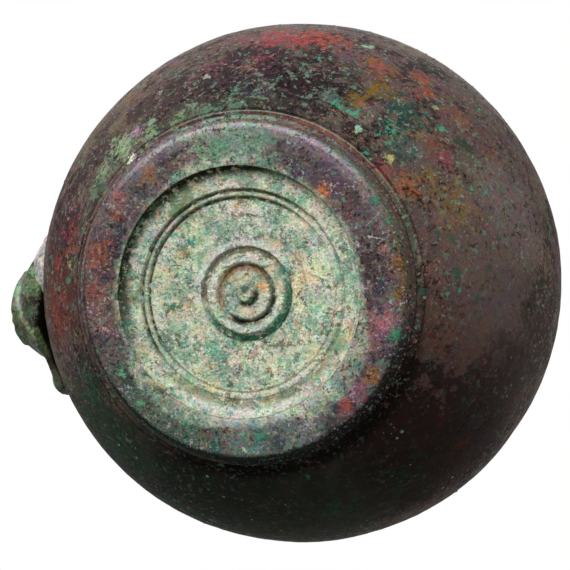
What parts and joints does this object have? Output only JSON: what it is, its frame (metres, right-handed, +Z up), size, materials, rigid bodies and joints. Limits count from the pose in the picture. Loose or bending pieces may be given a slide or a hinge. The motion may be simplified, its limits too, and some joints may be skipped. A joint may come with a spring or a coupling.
{
  "type": "bronze jug",
  "caption": "Globular bronze jug with trefoil mouth, strap handle with leaf plate and thumb rest, and turned base.",
  "frame": {"origin": "on the jug's axis in the plane that it stands on, at the lathe's centre boss under the base", "axes": "+Z up along the axis towards the mouth, +X towards the handle, -X towards the spout"},
  "size_m": [0.16, 0.14, 0.1926],
  "materials": {
    "patinated_bronze": "dark purple-brown patina with green, red and ochre corrosion",
    "foot_patina": "dark purple-grey patina, fine scratches, red and green spots",
    "recess_crust": "pale green and cream corrosion crust, matt",
    "handle_bronze": "grey-green patina, matt",
    "solder": "dull grey solder"
  },
  "bodies": {
    "root": {"body_shell": "patinated_bronze", "foot_ring": "foot_patina", "base_disc": "recess_crust", "base_solder": "solder", "leaf_plate": "handle_bronze", "leaf_solder": "solder", "handle": "handle_bronze", "lip_solder": "solder"}
  },
  "joints": []
}
